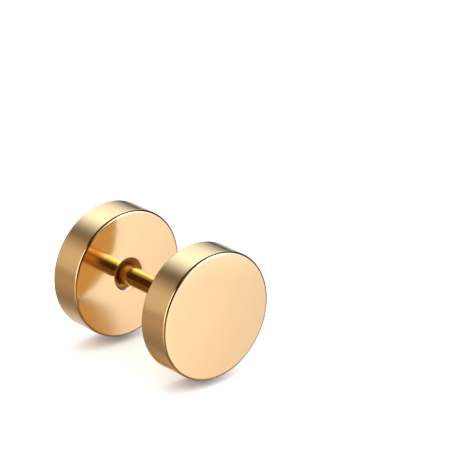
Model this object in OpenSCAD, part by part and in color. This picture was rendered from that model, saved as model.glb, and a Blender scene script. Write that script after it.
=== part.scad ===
/* [Discs] */
// Diameter of each disc
disc_d = 8; // [6:0.5:12]
// Thickness of each disc
disc_t = 2.2; // [1.9:0.1:3]
// Radius of the polished edge round each face
edge_r = 0.12; // [0.06:0.02:0.3]

/* [Post] */
// Diameter of the post, the part that goes through the ear
post_d = 1.15; // [1.05:0.05:1.4]
// Distance between the discs, where the ear lobe sits
lobe_gap = 6; // [5:0.2:10]

/* [Threaded ends] */
// Distance from one turn of the thread to the next
thread_pitch = 0.25; // [0.2:0.05:0.3]
// Depth of the thread, from crest to root
thread_depth = 0.12; // [0.08:0.02:0.14]
// How much smaller across than the post the thread's crest is
crest_step = 0.04; // [0.02:0.02:0.08]

/* [Holes in the discs] */
// Diameter of the countersink at its mouth
sink_d = 2.1; // [1.9:0.1:2.3]
// Metal left between the tip of the hole and the disc's outer face
cap_t = 0.3; // [0.2:0.05:0.4]
// Gap between the thread's crest and the wall of the hole
hole_clearance = 0.04; // [0.02:0.01:0.06]
// Space left between the tip of the post and the end of the straight hole
end_space = 0.06; // [0.04:0.02:0.1]

/* [Hidden] */
$fn = 128;

disc_r = disc_d / 2;
post_r = post_d / 2;
crest_r = post_r - crest_step / 2;
root_r = crest_r - thread_depth;
tip_chamfer = thread_depth / 2;

// The earring lies on the rims of both discs, so its axis is one disc radius up
axis_height = disc_r;
face_x = lobe_gap / 2;

// Each hole is drilled with a pointed drill, countersunk with a wider one and tapped
drill_point_angle = 118;
drill_slope = tan(drill_point_angle / 2);
hole_r = crest_r + hole_clearance;
sink_r = sink_d / 2;
sink_depth = (sink_r - hole_r) / drill_slope;
drill_point_depth = hole_r / drill_slope;
hole_depth = disc_t - cap_t - drill_point_depth;
// The cone of the countersink is cut from a little outside the face
cut_lead = 0.1;

// The post narrows a little in the countersink, and its thread starts where the straight hole does
thread_space = hole_depth - end_space - tip_chamfer - sink_depth;
thread_turns = floor(thread_space / thread_pitch);
tip_depth = sink_depth + thread_turns * thread_pitch + tip_chamfer;

gold_face = [0.93, 0.74, 0.46];
gold_post = [0.84, 0.62, 0.27];

// Places what is drawn along +Z on the earring's axis: towards +X for 1, towards -X for -1
module on_axis(x, towards = 1) {
  translate([x, 0, axis_height]) rotate([0, 90 * towards, 0]) children();
}

// Half of a disc's cross-section, with its inner face at height 0
module disc_section() {
  square([disc_r - edge_r, disc_t]);
  translate([0, edge_r]) square([disc_r, disc_t - 2 * edge_r]);
  for (height = [edge_r, disc_t - edge_r])
    translate([disc_r - edge_r, height]) circle(r = edge_r);
}

// One V groove that the tap leaves in the wall of the hole
module thread_groove(height) {
  inner_r = hole_r - hole_clearance / 2;
  rotate_extrude()
    polygon([
      [inner_r, height - thread_pitch / 2],
      [hole_r + thread_depth / 2, height],
      [inner_r, height + thread_pitch / 2],
    ]);
}

// The blind hole that a disc is screwed on by, from its mouth at height 0 inwards
module tapped_hole() {
  translate([0, 0, -cut_lead])
    cylinder(r1 = sink_r + cut_lead * drill_slope, r2 = hole_r, h = sink_depth + cut_lead);
  cylinder(r = hole_r, h = hole_depth);
  translate([0, 0, hole_depth]) cylinder(r1 = hole_r, r2 = 0, h = drill_point_depth);
  for (turn = [1 : thread_turns])
    thread_groove(sink_depth + (turn - 0.5) * thread_pitch);
}

// A solid disc with polished edges, drilled and tapped in its inner face
module disc() {
  difference() {
    rotate_extrude() disc_section();
    tapped_hole();
  }
}

// The outline of one end of the bar as [radius, height], from the plain shank to the tip
function end_outline() =
  let (thread_start = face_x + sink_depth)
  concat(
    [[post_r, face_x], [crest_r, thread_start]],
    [
      for (turn = [1 : thread_turns])
        each [
          [root_r, thread_start + (turn - 0.5) * thread_pitch],
          [crest_r, thread_start + turn * thread_pitch],
        ]
    ],
    [[crest_r - tip_chamfer, face_x + tip_depth]]
  );

function upside_down(points) =
  [for (i = [len(points) - 1 : -1 : 0]) [points[i].x, -points[i].y]];

// A plain round bar, turned in one piece, with the same thread on both ends
module threaded_bar() {
  tip = face_x + tip_depth;
  rotate_extrude()
    polygon(concat([[0, -tip]], upside_down(end_outline()), end_outline(), [[0, tip]]));
}

module front_disc() {
  color(gold_face) on_axis(face_x) disc();
}

module post() {
  color(gold_post) on_axis(0) threaded_bar();
}

module back_disc() {
  color(gold_face) on_axis(-face_x, towards = -1) disc();
}

front_disc();
post();
back_disc();
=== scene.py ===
"""The looks of a fake plug earring: two mirror polished gold discs, screwed on the ends of a thin post.

The earring lies on a white table in a soft studio light. Lengths in this script are millimetres,
and MM turns them into metres where a mesh, a material or the camera is made.
"""

from math import ceil, cos, pi, radians, sin, tan
from typing import NamedTuple

import bmesh
import bpy
from mathutils import Matrix, Vector


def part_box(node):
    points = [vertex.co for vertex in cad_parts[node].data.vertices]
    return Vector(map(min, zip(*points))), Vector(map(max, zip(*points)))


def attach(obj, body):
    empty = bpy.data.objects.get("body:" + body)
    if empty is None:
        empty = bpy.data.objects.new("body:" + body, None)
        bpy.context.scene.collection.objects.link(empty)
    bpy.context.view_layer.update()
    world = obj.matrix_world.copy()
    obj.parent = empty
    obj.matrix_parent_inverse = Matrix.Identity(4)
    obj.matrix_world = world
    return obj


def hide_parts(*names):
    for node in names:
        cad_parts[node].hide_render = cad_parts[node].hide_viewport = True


MM = 0.001
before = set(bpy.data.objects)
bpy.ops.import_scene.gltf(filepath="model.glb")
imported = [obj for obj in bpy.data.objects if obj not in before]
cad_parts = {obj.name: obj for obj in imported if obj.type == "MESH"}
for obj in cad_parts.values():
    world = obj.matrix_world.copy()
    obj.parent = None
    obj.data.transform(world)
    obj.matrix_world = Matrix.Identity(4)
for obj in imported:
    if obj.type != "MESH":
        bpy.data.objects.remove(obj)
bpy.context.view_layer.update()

# Sizes that come from the frame

disc_low, disc_high = (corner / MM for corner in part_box("front_disc"))
post_low, post_high = (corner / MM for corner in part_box("post"))
DISC_R = (disc_high.y - disc_low.y) / 2
DISC_T = disc_high.x - disc_low.x
FACE_X = disc_low.x
AXIS_Z = (disc_low.z + disc_high.z) / 2
POST_R = (post_high.y - post_low.y) / 2
TIP_X = post_high.x

# Sizes that repeat the solids' own: the countersunk holes and the thread

SINK_R = 1.05
SINK_ANGLE = 118
HOLE_R = 0.595
HOLE_DEPTH = 1.542
DRILL_POINT_ANGLE = 118
CREST_R = 0.555
THREAD_DEPTH = 0.12
THREAD_PITCH = 0.25
TIP_CHAMFER = 0.06
SINK_DEPTH = (SINK_R - HOLE_R) / tan(radians(SINK_ANGLE / 2))
THREAD_START = FACE_X + SINK_DEPTH
HOLE_END = FACE_X + HOLE_DEPTH

# What polishing does, and where it doesn't reach

# The faces are very slightly domed, and would be this much lower at the wall
CROWN = 0.03
# Faces and walls roll off softly into their edges: a gentle shoulder on each side of a tighter turn
EDGE_R = 0.14
SHOULDER_R = 0.45
SHOULDER_TURN = 9
# The look of wear on an edge fades out over this many edge radii
WEAR_FADE = 2
# The mouth of the hole is rounded, and the unpolished surface starts this far below the face
LIP_R = 0.06
UNPOLISHED_FROM = LIP_R / 10

# How fine the meshes are

AROUND = 256
FACE_STEPS = 12
EDGE_STEPS = 10
LIP_STEPS = 4
TURN_STEPS = 14
# Rings this far from a bend keep the shading of a flat stretch flat
SUPPORT = 0.02
# Where rings lie, as shares of the length: on the drill's point from its base to its tip, and on the
# post's shank from its middle to a disc's face
POINT_RINGS = (0.05, 0.5, 0.95, 1)
SHANK_RINGS = (0.25, 0.5, 0.75, 0.98, 1)


def arc(centre, radius, start_deg, end_deg, steps):
    """Points (along, radius) on an arc; 0 degrees is outwards from the axis and 90 is along it."""
    angles = [radians(start_deg + (end_deg - start_deg) * i / steps) for i in range(steps + 1)]
    return [(centre[0] + radius * sin(a), centre[1] + radius * cos(a)) for a in angles]


def edge_wear(x, radius):
    """1 on a disc's polished edges, falling to 0 a little way in from them."""
    to_face = min(abs(abs(x) - FACE_X), abs(abs(x) - FACE_X - DISC_T))
    to_wall = DISC_R - radius
    away = max(to_face, to_wall) / EDGE_R
    return max(0.0, 1 - max(0.0, away - 1) / WEAR_FADE)


def unpolished(x, radius):
    """1 in the discs' holes and countersinks and on the ends of the post inside them, 0 elsewhere."""
    inside = FACE_X + UNPOLISHED_FROM < abs(x) < FACE_X + DISC_T - CROWN
    return float(inside and radius < SINK_R)


def revolve(name, outline, thread):
    """A closed solid of revolution about the earring's axis, from points (x, radius) of its outline.

    thread(x, angle) is added to the radius. The mesh keeps how near each point is to a polished edge,
    and where it is unpolished.
    """
    made = bmesh.new()
    wear = made.verts.layers.float.new("edge_wear")
    rough = made.verts.layers.float.new("unpolished")
    rings = []
    for x, radius in outline:
        ring = []
        for i in range(AROUND if radius > 0 else 1):
            angle = 2 * pi * i / AROUND
            r = radius + thread(x, angle) if radius > 0 else 0
            point = made.verts.new(Vector((x, r * cos(angle), AXIS_Z + r * sin(angle))) * MM)
            point[wear] = edge_wear(x, radius)
            point[rough] = unpolished(x, radius)
            ring.append(point)
        rings.append(ring)
    for ring, following in zip(rings, rings[1:]):
        for i in range(AROUND):
            corners = [ring[i % len(ring)], ring[(i + 1) % len(ring)]]
            corners += [following[(i + 1) % len(following)], following[i % len(following)]]
            # Next to the axis two of the four corners are one point
            made.faces.new(list(dict.fromkeys(corners)))
    bmesh.ops.recalc_face_normals(made, faces=made.faces)
    mesh = bpy.data.meshes.new(name)
    made.to_mesh(mesh)
    made.free()
    mesh.shade_smooth()
    piece = bpy.data.objects.new(name, mesh)
    bpy.context.scene.collection.objects.link(piece)
    return piece


def ramp(value, start, end):
    """0 before start and 1 after end, with a smooth rise between them."""
    share = min(1.0, max(0.0, (value - start) / (end - start)))
    return share * share * (3 - 2 * share)


def thread_wave(x, angle):
    """1 on the crest of the right-handed thread and 0 in its root."""
    return 0.5 + 0.5 * cos(2 * pi * x / THREAD_PITCH - angle)


def hole_thread(x, angle):
    """The groove that the tap leaves in the wall of a disc's hole.

    It goes by x alone, because no ring of the disc's rim lies between the hole's two ends.
    """
    there = ramp(x, THREAD_START, THREAD_START + THREAD_PITCH / 2)
    there *= 1 - ramp(x, HOLE_END - THREAD_PITCH / 2, HOLE_END)
    return THREAD_DEPTH / 2 * thread_wave(x, angle) * there


def post_thread(x, angle):
    """The thread cut into both ends of the post, running out towards the shank and the tip."""
    cut = ramp(abs(x), THREAD_START, THREAD_START + THREAD_PITCH / 2)
    cut *= 1 - ramp(abs(x), TIP_X - TIP_CHAMFER, TIP_X)
    return -THREAD_DEPTH * (1 - thread_wave(x, angle)) * cut


def threaded_rings(start, end, radius):
    """Points (x, radius) along a threaded stretch, close enough to draw each turn."""
    count = ceil((end - start) / THREAD_PITCH * TURN_STEPS)
    return [(start + (end - start) * i / count, radius) for i in range(count + 1)]


def face_rings(x_at, inner_r, outer_r):
    """Points across a face, with close ones beside its borders so that its shading stays true."""
    radii = [inner_r + (outer_r - inner_r) * i / FACE_STEPS for i in range(1, FACE_STEPS)]
    radii = [inner_r + SUPPORT, *radii, outer_r - SUPPORT]
    return [(x_at(r), r) for r in radii]


def crown(radius):
    """How far the polished face has fallen away at this radius."""
    return CROWN * (radius / DISC_R) ** 2


def polished_edge():
    """Points (depth below the face, radius) from the face's flat part, round its edge, to the wall."""
    across = (SHOULDER_R - EDGE_R) * cos(radians(SHOULDER_TURN))
    along = (SHOULDER_R - EDGE_R) * sin(radians(SHOULDER_TURN))
    # Centres of the face's shoulder, of the edge and of the wall's shoulder, from the disc's corner
    by_face = (-SHOULDER_R, across - along - SHOULDER_R)
    edge = (across - SHOULDER_R, across - SHOULDER_R)
    by_wall = (by_face[1], by_face[0])
    points = arc(by_face, SHOULDER_R, 90, 90 - SHOULDER_TURN, EDGE_STEPS)
    points += arc(edge, EDGE_R, 90 - SHOULDER_TURN, SHOULDER_TURN, EDGE_STEPS)[1:]
    points += arc(by_wall, SHOULDER_R, SHOULDER_TURN, 0, EDGE_STEPS)[1:]
    return [(-depth, DISC_R + radius) for depth, radius in points]


def disc_outline():
    """A disc's cross-section, from the middle of its outer face round to the tip of its hole."""
    outer_x = FACE_X + DISC_T
    edge = polished_edge()
    flat_r = edge[0][1]
    outer_face = face_rings(lambda r: outer_x - crown(r), 0, flat_r)

    drop = crown(flat_r)
    wall_start = edge[-1][0] + drop + SUPPORT
    rim = [(outer_x - drop - depth, radius) for depth, radius in edge]
    rim += [(outer_x - wall_start, DISC_R), (FACE_X + wall_start, DISC_R)]
    rim += [(FACE_X + drop + depth, radius) for depth, radius in reversed(edge)]

    lip_turn = 90 - SINK_ANGLE / 2
    mouth_r = SINK_R + LIP_R * tan(radians(lip_turn / 2))
    inner_face = face_rings(lambda r: FACE_X + crown(r), mouth_r, flat_r)
    lip = arc((FACE_X + LIP_R, mouth_r), LIP_R, -90, -90 - lip_turn, LIP_STEPS)

    hole = threaded_rings(THREAD_START, HOLE_END, HOLE_R)
    point_depth = HOLE_R / tan(radians(DRILL_POINT_ANGLE / 2))
    tip = [(HOLE_END + point_depth * share, HOLE_R * (1 - share)) for share in POINT_RINGS]
    return [(outer_x, 0), *outer_face, *rim, *reversed(inner_face), *lip, *hole, *tip]


def make_disc(name, turned_round):
    """One disc; the back disc is the same one turned end for end."""
    disc = revolve(name, disc_outline(), hole_thread)
    if turned_round:
        middle = Matrix.Translation((0, 0, AXIS_Z * MM))
        disc.data.transform(middle @ Matrix.Rotation(pi, 4, "Y") @ middle.inverted())
    return disc


def make_post(name):
    """The bar: a plain shank, a slight taper inside the countersinks, and a thread to each tip."""
    tip_r = CREST_R - TIP_CHAMFER
    shank = [(FACE_X * share, POST_R) for share in SHANK_RINGS]
    threaded = threaded_rings(THREAD_START, TIP_X - TIP_CHAMFER, CREST_R)
    tip = [(TIP_X, tip_r), (TIP_X, tip_r / 2), (TIP_X, 0)]
    end = [*shank, (FACE_X + SUPPORT, POST_R), *threaded, *tip]
    other_end = [(-x, radius) for x, radius in reversed(end)]
    return revolve(name, [*other_end, (0, POST_R), *end], post_thread)


# Helpers for shader nodes

# A mix node has sockets for each kind of value, and these are the ones for colours
MIX_SHARE, MIX_FIRST, MIX_SECOND, MIX_RESULT = 0, 6, 7, 2


class Pattern(NamedTuple):
    """A noise: how large its blobs are, how fine its detail is, and between which values it comes in."""

    size: float
    detail: float
    off: float
    on: float


class Nodes:
    """Makes and joins the nodes of one shader tree."""

    def __init__(self, tree):
        self.tree = tree
        tree.nodes.clear()

    def add(self, kind, settings=None, **inputs):
        """A node with its settings; each input is a plain value or another node's socket."""
        node = self.tree.nodes.new(kind)
        for name, value in (settings or {}).items():
            setattr(node, name, value)
        for name, value in inputs.items():
            self.feed(node.inputs[name.replace("_", " ")], value)
        return node

    def feed(self, socket, value):
        """Gives a socket a plain value, or joins it to another node's socket."""
        if isinstance(value, bpy.types.NodeSocket):
            self.tree.links.new(value, socket)
        else:
            socket.default_value = value

    def math(self, operation, *values):
        """A sum, product or function of numbers."""
        node = self.add("ShaderNodeMath", {"operation": operation})
        for socket, value in zip(node.inputs, values):
            self.feed(socket, value)
        return node.outputs[0]

    def vector(self, operation, *values, output=0):
        """A sum or function of vectors."""
        node = self.add("ShaderNodeVectorMath", {"operation": operation})
        for socket, value in zip(node.inputs, values):
            self.feed(socket, value)
        return node.outputs[output]

    def scaled(self, vector, amount):
        """The vector, or the colour, times a number."""
        settings = {"operation": "SCALE"}
        return self.add("ShaderNodeVectorMath", settings, Vector=vector, Scale=amount).outputs[0]

    def attribute(self, name):
        """A number that the mesh keeps at each point."""
        return self.add("ShaderNodeAttribute", {"attribute_name": name}).outputs["Fac"]

    def noise(self, where, size, detail):
        """Noise from 0 to 1 whose blobs are about this many millimetres across."""
        scale = 1 / (size * MM)
        return self.add("ShaderNodeTexNoise", Vector=where, Scale=scale, Detail=detail).outputs["Fac"]

    def pattern(self, where, pattern, to_off, to_on):
        """to_off where the pattern is off and to_on where it is on, with smooth borders."""
        noise = self.noise(where, pattern.size, pattern.detail)
        return self.spread(noise, pattern.off, pattern.on, to_off, to_on)

    def spread(self, value, low, high, to_low, to_high):
        """value's range from low to high, taken smoothly to the range from to_low to to_high."""
        node = self.add(
            "ShaderNodeMapRange",
            {"interpolation_type": "SMOOTHSTEP"},
            Value=value,
            From_Min=low,
            From_Max=high,
            To_Min=to_low,
            To_Max=to_high,
        )
        return node.outputs["Result"]

    def window(self, angle, degrees):
        """1 between the second and the third of four angles, fading to 0 at the first and the fourth."""
        start, full, still_full, end = (radians(d) for d in degrees)
        rise = self.spread(angle, start, full, 0.0, 1.0)
        return self.math("MULTIPLY", rise, self.spread(angle, still_full, end, 1.0, 0.0))

    def mix_shaders(self, share, first, second):
        """The first shader, with this share of the second."""
        node = self.add("ShaderNodeMixShader", Fac=share)
        self.tree.links.new(first.outputs[0], node.inputs[1])
        self.tree.links.new(second.outputs[0], node.inputs[2])
        return node

    def mix_colours(self, share, first, second):
        """The first colour, with this share of the second."""
        node = self.add("ShaderNodeMix", {"data_type": "RGBA"})
        self.feed(node.inputs[MIX_SHARE], share)
        self.feed(node.inputs[MIX_FIRST], first)
        self.feed(node.inputs[MIX_SECOND], second)
        return node.outputs[MIX_RESULT]

    def finish(self, kind, surface):
        """Ends the tree in an output node of this kind."""
        self.tree.links.new(surface.outputs[0], self.add(kind).inputs["Surface"])


def new_material(name):
    """A material, and the empty tree that its nodes go in."""
    material = bpy.data.materials.new(name)
    material.use_nodes = True
    return material, Nodes(material.node_tree)


# The gold


class Plating(NamedTuple):
    """A part's gold: its colour, that of its redder clouds, its roughness, and its lines' depth."""

    colour: tuple
    redder: tuple
    roughness: float
    line_depth: float


DISC_PLATING = Plating((0.965, 0.665, 0.275), (0.962, 0.655, 0.265), 0.09, 0.00006)
POST_PLATING = Plating((0.880, 0.585, 0.208), (0.875, 0.570, 0.192), 0.12, 0.00012)

CLOUDS = Pattern(2.5, 3.0, 0.35, 0.65)
SMUDGES = Pattern(1.4, 4.0, 0.42, 0.72)
GRAIN = Pattern(0.05, 2.0, 0.3, 0.7)
SCRATCHES = Pattern(0.05, 1.0, 0.70, 0.76)
SCRATCHED_SPOTS = Pattern(1.8, 2.0, 0.45, 0.65)

# The paler colour of burnished edges, its share there, and how much smoother they are
PALER_TIMES = 1.02
PALER_BY = 0.008
EDGE_TINT = 0.7
EDGE_SMOOTHER = 0.25
# Smudges are this many times as rough, and are moved so that they don't lie on the clouds
SMUDGE_TIMES = 1.35
SMUDGE_SHIFT = (13, 7, 2)
GRAIN_ROUGHER = 0.008
UNPOLISHED_ROUGHER = 0.26
# How wide the polishing lines are, and as how long a way they count one radian round the axis
LINE_SIZE = 0.035
LINE_RADIAN = 0.2
# Each way that hairline scratches run: a turn in degrees, and their width as a share of their length
SCRATCH_WAYS = ((25, 0.03), (-50, 0.045), (80, 0.035))
SCRATCH_DEPTH = 0.0006
ROLL_SIZE = 1.1
ROLL_HEIGHT = 0.0012


def turned_coordinates(nodes):
    """Object coordinates, and the same bent round the earring's axis: along, out and around it."""
    place = nodes.add("ShaderNodeTexCoord").outputs["Object"]
    from_axis = nodes.vector("SUBTRACT", place, (0, 0, AXIS_Z * MM))
    parts = nodes.add("ShaderNodeSeparateXYZ", Vector=from_axis)
    y, z = parts.outputs["Y"], parts.outputs["Z"]
    squares = nodes.math("ADD", nodes.math("MULTIPLY", y, y), nodes.math("MULTIPLY", z, z))
    return place, parts.outputs["X"], nodes.math("SQRT", squares), nodes.math("ARCTAN2", z, y)


def plated_colour(nodes, place, wear, plating):
    """The plating is a touch redder in soft clouds, and a touch paler on burnished edges."""
    clouds = nodes.pattern(place, CLOUDS, 0.0, 1.0)
    tinted = nodes.mix_colours(clouds, (*plating.colour, 1), (*plating.redder, 1))
    paler = tuple(min(1.0, c * PALER_TIMES + PALER_BY) for c in plating.colour)
    return nodes.mix_colours(nodes.math("MULTIPLY", wear, EDGE_TINT), tinted, (*paler, 1))


def polish(nodes, place, wear, roughness):
    """Smudges and a fine grain dull the polish, edges are burnished, and the holes are left rough."""
    smudged_at = nodes.vector("ADD", place, Vector(SMUDGE_SHIFT) * MM)
    dulled = nodes.pattern(smudged_at, SMUDGES, roughness, roughness * SMUDGE_TIMES)
    dulled = nodes.math("ADD", dulled, nodes.pattern(place, GRAIN, -GRAIN_ROUGHER, GRAIN_ROUGHER))
    dulled = nodes.math("SUBTRACT", dulled, nodes.math("MULTIPLY", wear, roughness * EDGE_SMOOTHER))
    left_rough = nodes.math("MULTIPLY", nodes.attribute("unpolished"), UNPOLISHED_ROUGHER)
    return nodes.math("ADD", dulled, left_rough)


def polishing_lines(nodes, along, out, angle):
    """Fine lines left by turning and buffing, which run round the axis on walls and faces alike."""
    around = nodes.math("MULTIPLY", angle, LINE_RADIAN * MM)
    bent = nodes.add("ShaderNodeCombineXYZ", X=along, Y=out, Z=around)
    return nodes.noise(bent.outputs[0], LINE_SIZE, detail=3.0)


def hairline_scratches(nodes, place):
    """Scratches that go any way, and only here and there."""
    scratches = 0.0
    for turn_deg, slimness in SCRATCH_WAYS:
        turned = nodes.add(
            "ShaderNodeMapping",
            Vector=place,
            Rotation=(radians(turn_deg), radians(turn_deg / 2), radians(turn_deg / 3)),
            Scale=(1, slimness, 1),
        )
        hairs = nodes.pattern(turned.outputs[0], SCRATCHES, 0.0, 1.0)
        scratches = nodes.math("MAXIMUM", scratches, hairs)
    return nodes.math("MULTIPLY", scratches, nodes.pattern(place, SCRATCHED_SPOTS, 0.0, 1.0))


def gold(name, plating):
    """Polished gold plating, with fine lines, hairline scratches, smudges and burnished edges."""
    material, nodes = new_material(name)
    place, along, out, angle = turned_coordinates(nodes)
    wear = nodes.attribute("edge_wear")

    # The relief is in millimetres, and the surface also rolls very slightly
    lines = nodes.math("MULTIPLY", polishing_lines(nodes, along, out, angle), plating.line_depth)
    scratches = nodes.math("MULTIPLY", hairline_scratches(nodes, place), SCRATCH_DEPTH)
    roll = nodes.math("MULTIPLY", nodes.noise(place, ROLL_SIZE, detail=1.0), ROLL_HEIGHT)
    height = nodes.math("ADD", nodes.math("SUBTRACT", lines, scratches), roll)
    bump = nodes.add("ShaderNodeBump", Height=nodes.math("MULTIPLY", height, MM), Distance=1.0)

    shader = nodes.add(
        "ShaderNodeBsdfPrincipled",
        Base_Color=plated_colour(nodes, place, wear, plating),
        Metallic=1.0,
        Roughness=polish(nodes, place, wear, plating.roughness),
        Normal=bump.outputs["Normal"],
    )
    nodes.finish("ShaderNodeOutputMaterial", shader)
    return material


def towards(azimuth_deg, elevation_deg):
    """The direction at this azimuth, anticlockwise from +X, and elevation."""
    a, e = radians(azimuth_deg), radians(elevation_deg)
    return Vector((cos(a) * cos(e), sin(a) * cos(e), sin(e)))


# The studio


class Softbox(NamedTuple):
    """A light in the room, in degrees.

    It fades in from the first to the second of the four azimuths across, which are counted from
    its own azimuth, and out from the third to the fourth, and so with the four elevations up.
    """

    azimuth: float
    across: tuple
    up: tuple
    colour: tuple


SOFTBOXES = {
    "behind on the right": Softbox(45, (-32, -20, -7, 13), (-70, -50, 28, 40), (1.85, 2.32, 4.20)),
    "above it": Softbox(27, (-55, -12, 8, 20), (24, 34, 40, 50), (1.78, 1.93, 2.30)),
    "behind on the left": Softbox(145, (-40, -12, 10, 33), (-7, 39, 46, 60), (1.16, 1.32, 1.84)),
    "high on the left": Softbox(177, (-24, 0, -12, 33), (24, 38, 48, 60), (1.16, 1.33, 1.90)),
    "far end of the table": Softbox(135, (-40, -20, 20, 40), (-25, -14, -9, 0), (0.53, 0.67, 0.85)),
    "warm wall on the left": Softbox(-135, (-40, -15, 10, 26), (-30, 8, 16, 48), (0.60, 0.55, 0.58)),
    "low card in front": Softbox(-93, (-25, -12, 14, 30), (-45, -30, 34, 48), (1.75, 1.76, 2.10)),
}
DIM_ROOM = (0.050, 0.031, 0.016)
WHITE_BACKDROP = (1.0, 1.0, 1.0, 1)

# The table's own light is warm at the horizon and cool from this elevation up
LOW_FILL = (1.51, 1.40, 1.12, 1)
HIGH_FILL = (1.24, 1.43, 1.57, 1)
HIGH_FILL_FROM = 60
# It is stronger from this azimuth by this share, and weaker from the other side
FILL_FROM = 60
FILL_LEAN = 0.35
# What the metal throws on the table is a room this bright. Backwards along the post, where the
# direction's X is under 0, it is darker by this factor, and from this X on it is in full
BOUNCED_FILL = (1.40, 1.33, 1.10)
BOUNCED_BEHIND = 0.65
BOUNCED_CHANGE = 0.5


def mirrored_room(nodes, azimuth, elevation):
    """What the metal mirrors: a dim room with the softboxes in it."""
    room = DIM_ROOM
    for light in SOFTBOXES.values():
        offset = nodes.math("WRAP", nodes.math("SUBTRACT", azimuth, radians(light.azimuth)), pi, -pi)
        across, up = nodes.window(offset, light.across), nodes.window(elevation, light.up)
        strength = nodes.math("MULTIPLY", across, up)
        room = nodes.vector("ADD", room, nodes.scaled(light.colour, strength))
    return room


def table_fill(nodes, direction, elevation):
    """The light that falls straight on the table."""
    height = nodes.spread(elevation, 0.0, radians(HIGH_FILL_FROM), 0.0, 1.0)
    fill = nodes.mix_colours(height, LOW_FILL, HIGH_FILL)
    side = towards(FILL_FROM, 0) * FILL_LEAN
    lean = nodes.vector("DOT_PRODUCT", direction, side, output="Value")
    return nodes.scaled(fill, nodes.math("ADD", lean, 1.0))


def light_studio():
    """The room as the metal sees it, as the table sees it, and plain white to the camera."""
    world = bpy.data.worlds.new("studio")
    bpy.context.scene.world = world
    world.use_nodes = True
    nodes = Nodes(world.node_tree)
    direction = nodes.add("ShaderNodeTexCoord").outputs["Generated"]
    x, y, z = nodes.add("ShaderNodeSeparateXYZ", Vector=direction).outputs
    azimuth = nodes.math("ARCTAN2", y, x)
    elevation = nodes.math("ARCSINE", z)

    ray = nodes.add("ShaderNodeLightPath").outputs
    from_table = nodes.math("MINIMUM", ray["Diffuse Depth"], 1.0)
    behind = nodes.spread(x, 0.0, BOUNCED_CHANGE, BOUNCED_BEHIND, 1.0)
    bounced = nodes.scaled(BOUNCED_FILL, behind)
    seen = nodes.mix_colours(from_table, mirrored_room(nodes, azimuth, elevation), bounced)
    fill = table_fill(nodes, direction, elevation)
    seen = nodes.mix_colours(ray["Is Diffuse Ray"], seen, fill)
    seen = nodes.mix_colours(ray["Is Camera Ray"], seen, WHITE_BACKDROP)
    nodes.finish("ShaderNodeOutputWorld", nodes.add("ShaderNodeBackground", Color=seen))


# The table

TABLE_SIZE = 3000
# The board lies this far below the sheet, which softens the contact shadows
BOARD_DEPTH = 0.44
# Over 1, so that the open board is pure white in the picture
BOARD_COLOUR = (1.15, 1.13, 1.10, 1)
# The sheet's plain colour is dim and warm. It is painted shade and a painted warm glow from the gold,
# for the shaded table round the discs that the metal mirrors
SHEET_PAINTED_SHADE = (0.277, 0.227, 0.206, 1)
SHEET_SHEEN = 0.64
# The sheen's warm tint is a painted warm glow bounced from the gold, in what the metal mirrors
SHEEN_PAINTED_GLOW_TINT = (1.0, 0.85, 0.72, 1)
SHEET_ROUGHNESS = 0.35
# The sheet is whole as far as this from the earring, and fades out beyond
MIRRORED_TO = 18


def stage_plane(material, depth):
    """A large level square of the table, this far below the earring."""
    half = TABLE_SIZE / 2 * MM
    corners = [(-half, -half, 0), (half, -half, 0), (half, half, 0), (-half, half, 0)]
    mesh = bpy.data.meshes.new(material.name)
    mesh.from_pydata(corners, [], [(0, 1, 2, 3)])
    mesh.materials.append(material)
    plane = bpy.data.objects.new(material.name, mesh)
    plane.location.z = -depth * MM
    bpy.context.scene.collection.objects.link(plane)
    return plane


def lay_table():
    """A white board under a clear sheet that the earring lies on.

    The camera sees the board, evenly lit to white, so that only the contact shadows show. The metal
    mirrors the sheet, which fades into the studio a little way off.
    """
    material, nodes = new_material("white_board")
    nodes.finish("ShaderNodeOutputMaterial", nodes.add("ShaderNodeBsdfDiffuse", Color=BOARD_COLOUR))
    board = stage_plane(material, BOARD_DEPTH)
    board.visible_glossy = False
    board.visible_diffuse = False

    material, nodes = new_material("clear_sheet")
    # Painted shade: the sheet's plain part is dim and warm, like the shaded table round the discs
    plain = nodes.add("ShaderNodeBsdfDiffuse", Color=SHEET_PAINTED_SHADE)
    # Painted glow: the sheen is tinted warm, as if lit by light bounced off the gold
    sheen = nodes.add("ShaderNodeBsdfAnisotropic", Color=SHEEN_PAINTED_GLOW_TINT, Roughness=SHEET_ROUGHNESS)
    glossy = nodes.mix_shaders(SHEET_SHEEN, plain, sheen)
    away = nodes.vector("LENGTH", nodes.add("ShaderNodeTexCoord").outputs["Object"], output="Value")
    faded = nodes.spread(nodes.math("DIVIDE", MIRRORED_TO * MM, away), 0.0, 1.0, 1.0, 0.0)
    mirrored = nodes.mix_shaders(faded, glossy, nodes.add("ShaderNodeBsdfTransparent"))
    nodes.finish("ShaderNodeOutputMaterial", mirrored)
    sheet = stage_plane(material, 0)
    sheet.visible_camera = False
    sheet.visible_diffuse = False
    sheet.visible_shadow = False


# The camera

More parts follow.
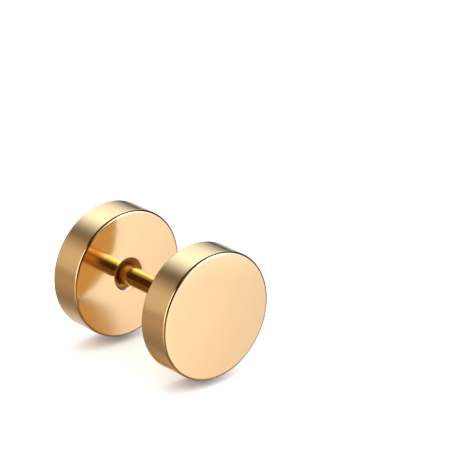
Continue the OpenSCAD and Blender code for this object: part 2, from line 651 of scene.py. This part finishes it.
# Measures of the photograph: its width in pixels, where the middle of the front disc's outer face
# is, that disc's radius, and the viewing direction and distance that its rims give
FRAME_PX = 470
FACE_CENTRE_PX = (216.8, 316.7)
DISC_R_PX = 68.2
VIEW_AZIMUTH = -40.6
VIEW_ELEVATION = 23.25
VIEW_DISTANCE = 268
SENSOR_W = 36
NEAREST_SEEN = VIEW_DISTANCE / 10


def place_camera():
    """A camera that sees the earring where the photograph shows it."""
    data = bpy.data.cameras.new("camera")
    camera = bpy.data.objects.new("camera", data)
    bpy.context.scene.collection.objects.link(camera)
    bpy.context.scene.camera = camera
    back = towards(VIEW_AZIMUTH, VIEW_ELEVATION)
    turn = back.to_track_quat("Z", "Y")
    right, up = turn @ Vector((1, 0, 0)), turn @ Vector((0, 1, 0))
    px_per_mm = DISC_R_PX / DISC_R
    face_centre = Vector((FACE_X + DISC_T, 0, AXIS_Z))
    from_middle_x = (FACE_CENTRE_PX[0] - FRAME_PX / 2) / px_per_mm
    from_middle_y = (FRAME_PX / 2 - FACE_CENTRE_PX[1]) / px_per_mm
    place = face_centre + back * VIEW_DISTANCE - right * from_middle_x - up * from_middle_y
    camera.location = place * MM
    camera.rotation_mode = "QUATERNION"
    camera.rotation_quaternion = turn
    data.sensor_width = SENSOR_W
    data.lens = px_per_mm * VIEW_DISTANCE / FRAME_PX * SENSOR_W
    data.clip_start = NEAREST_SEEN * MM
    data.clip_end = TABLE_SIZE * MM


# The scene

# Enough for what the two discs' inner faces mirror in each other
MIRROR_BOUNCES = 8

place_camera()
light_studio()
lay_table()

disc_gold = gold("polished_gold", DISC_PLATING)
post_gold = gold("drawn_gold", POST_PLATING)

front_disc = make_disc("front_disc_polished", turned_round=False)
back_disc = make_disc("back_disc_polished", turned_round=True)
post = make_post("threaded_post")

for piece, node, body, slot, material in (
    (front_disc, "front_disc", "front", "disc_gold", disc_gold),
    (post, "post", "front", "post_gold", post_gold),
    (back_disc, "back_disc", "back", "disc_gold", disc_gold),
):
    piece.data.materials.append(material)
    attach(piece, body)
    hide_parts(node)

bpy.context.scene.view_settings.view_transform = "Standard"
bpy.context.scene.cycles.glossy_bounces = MIRROR_BOUNCES
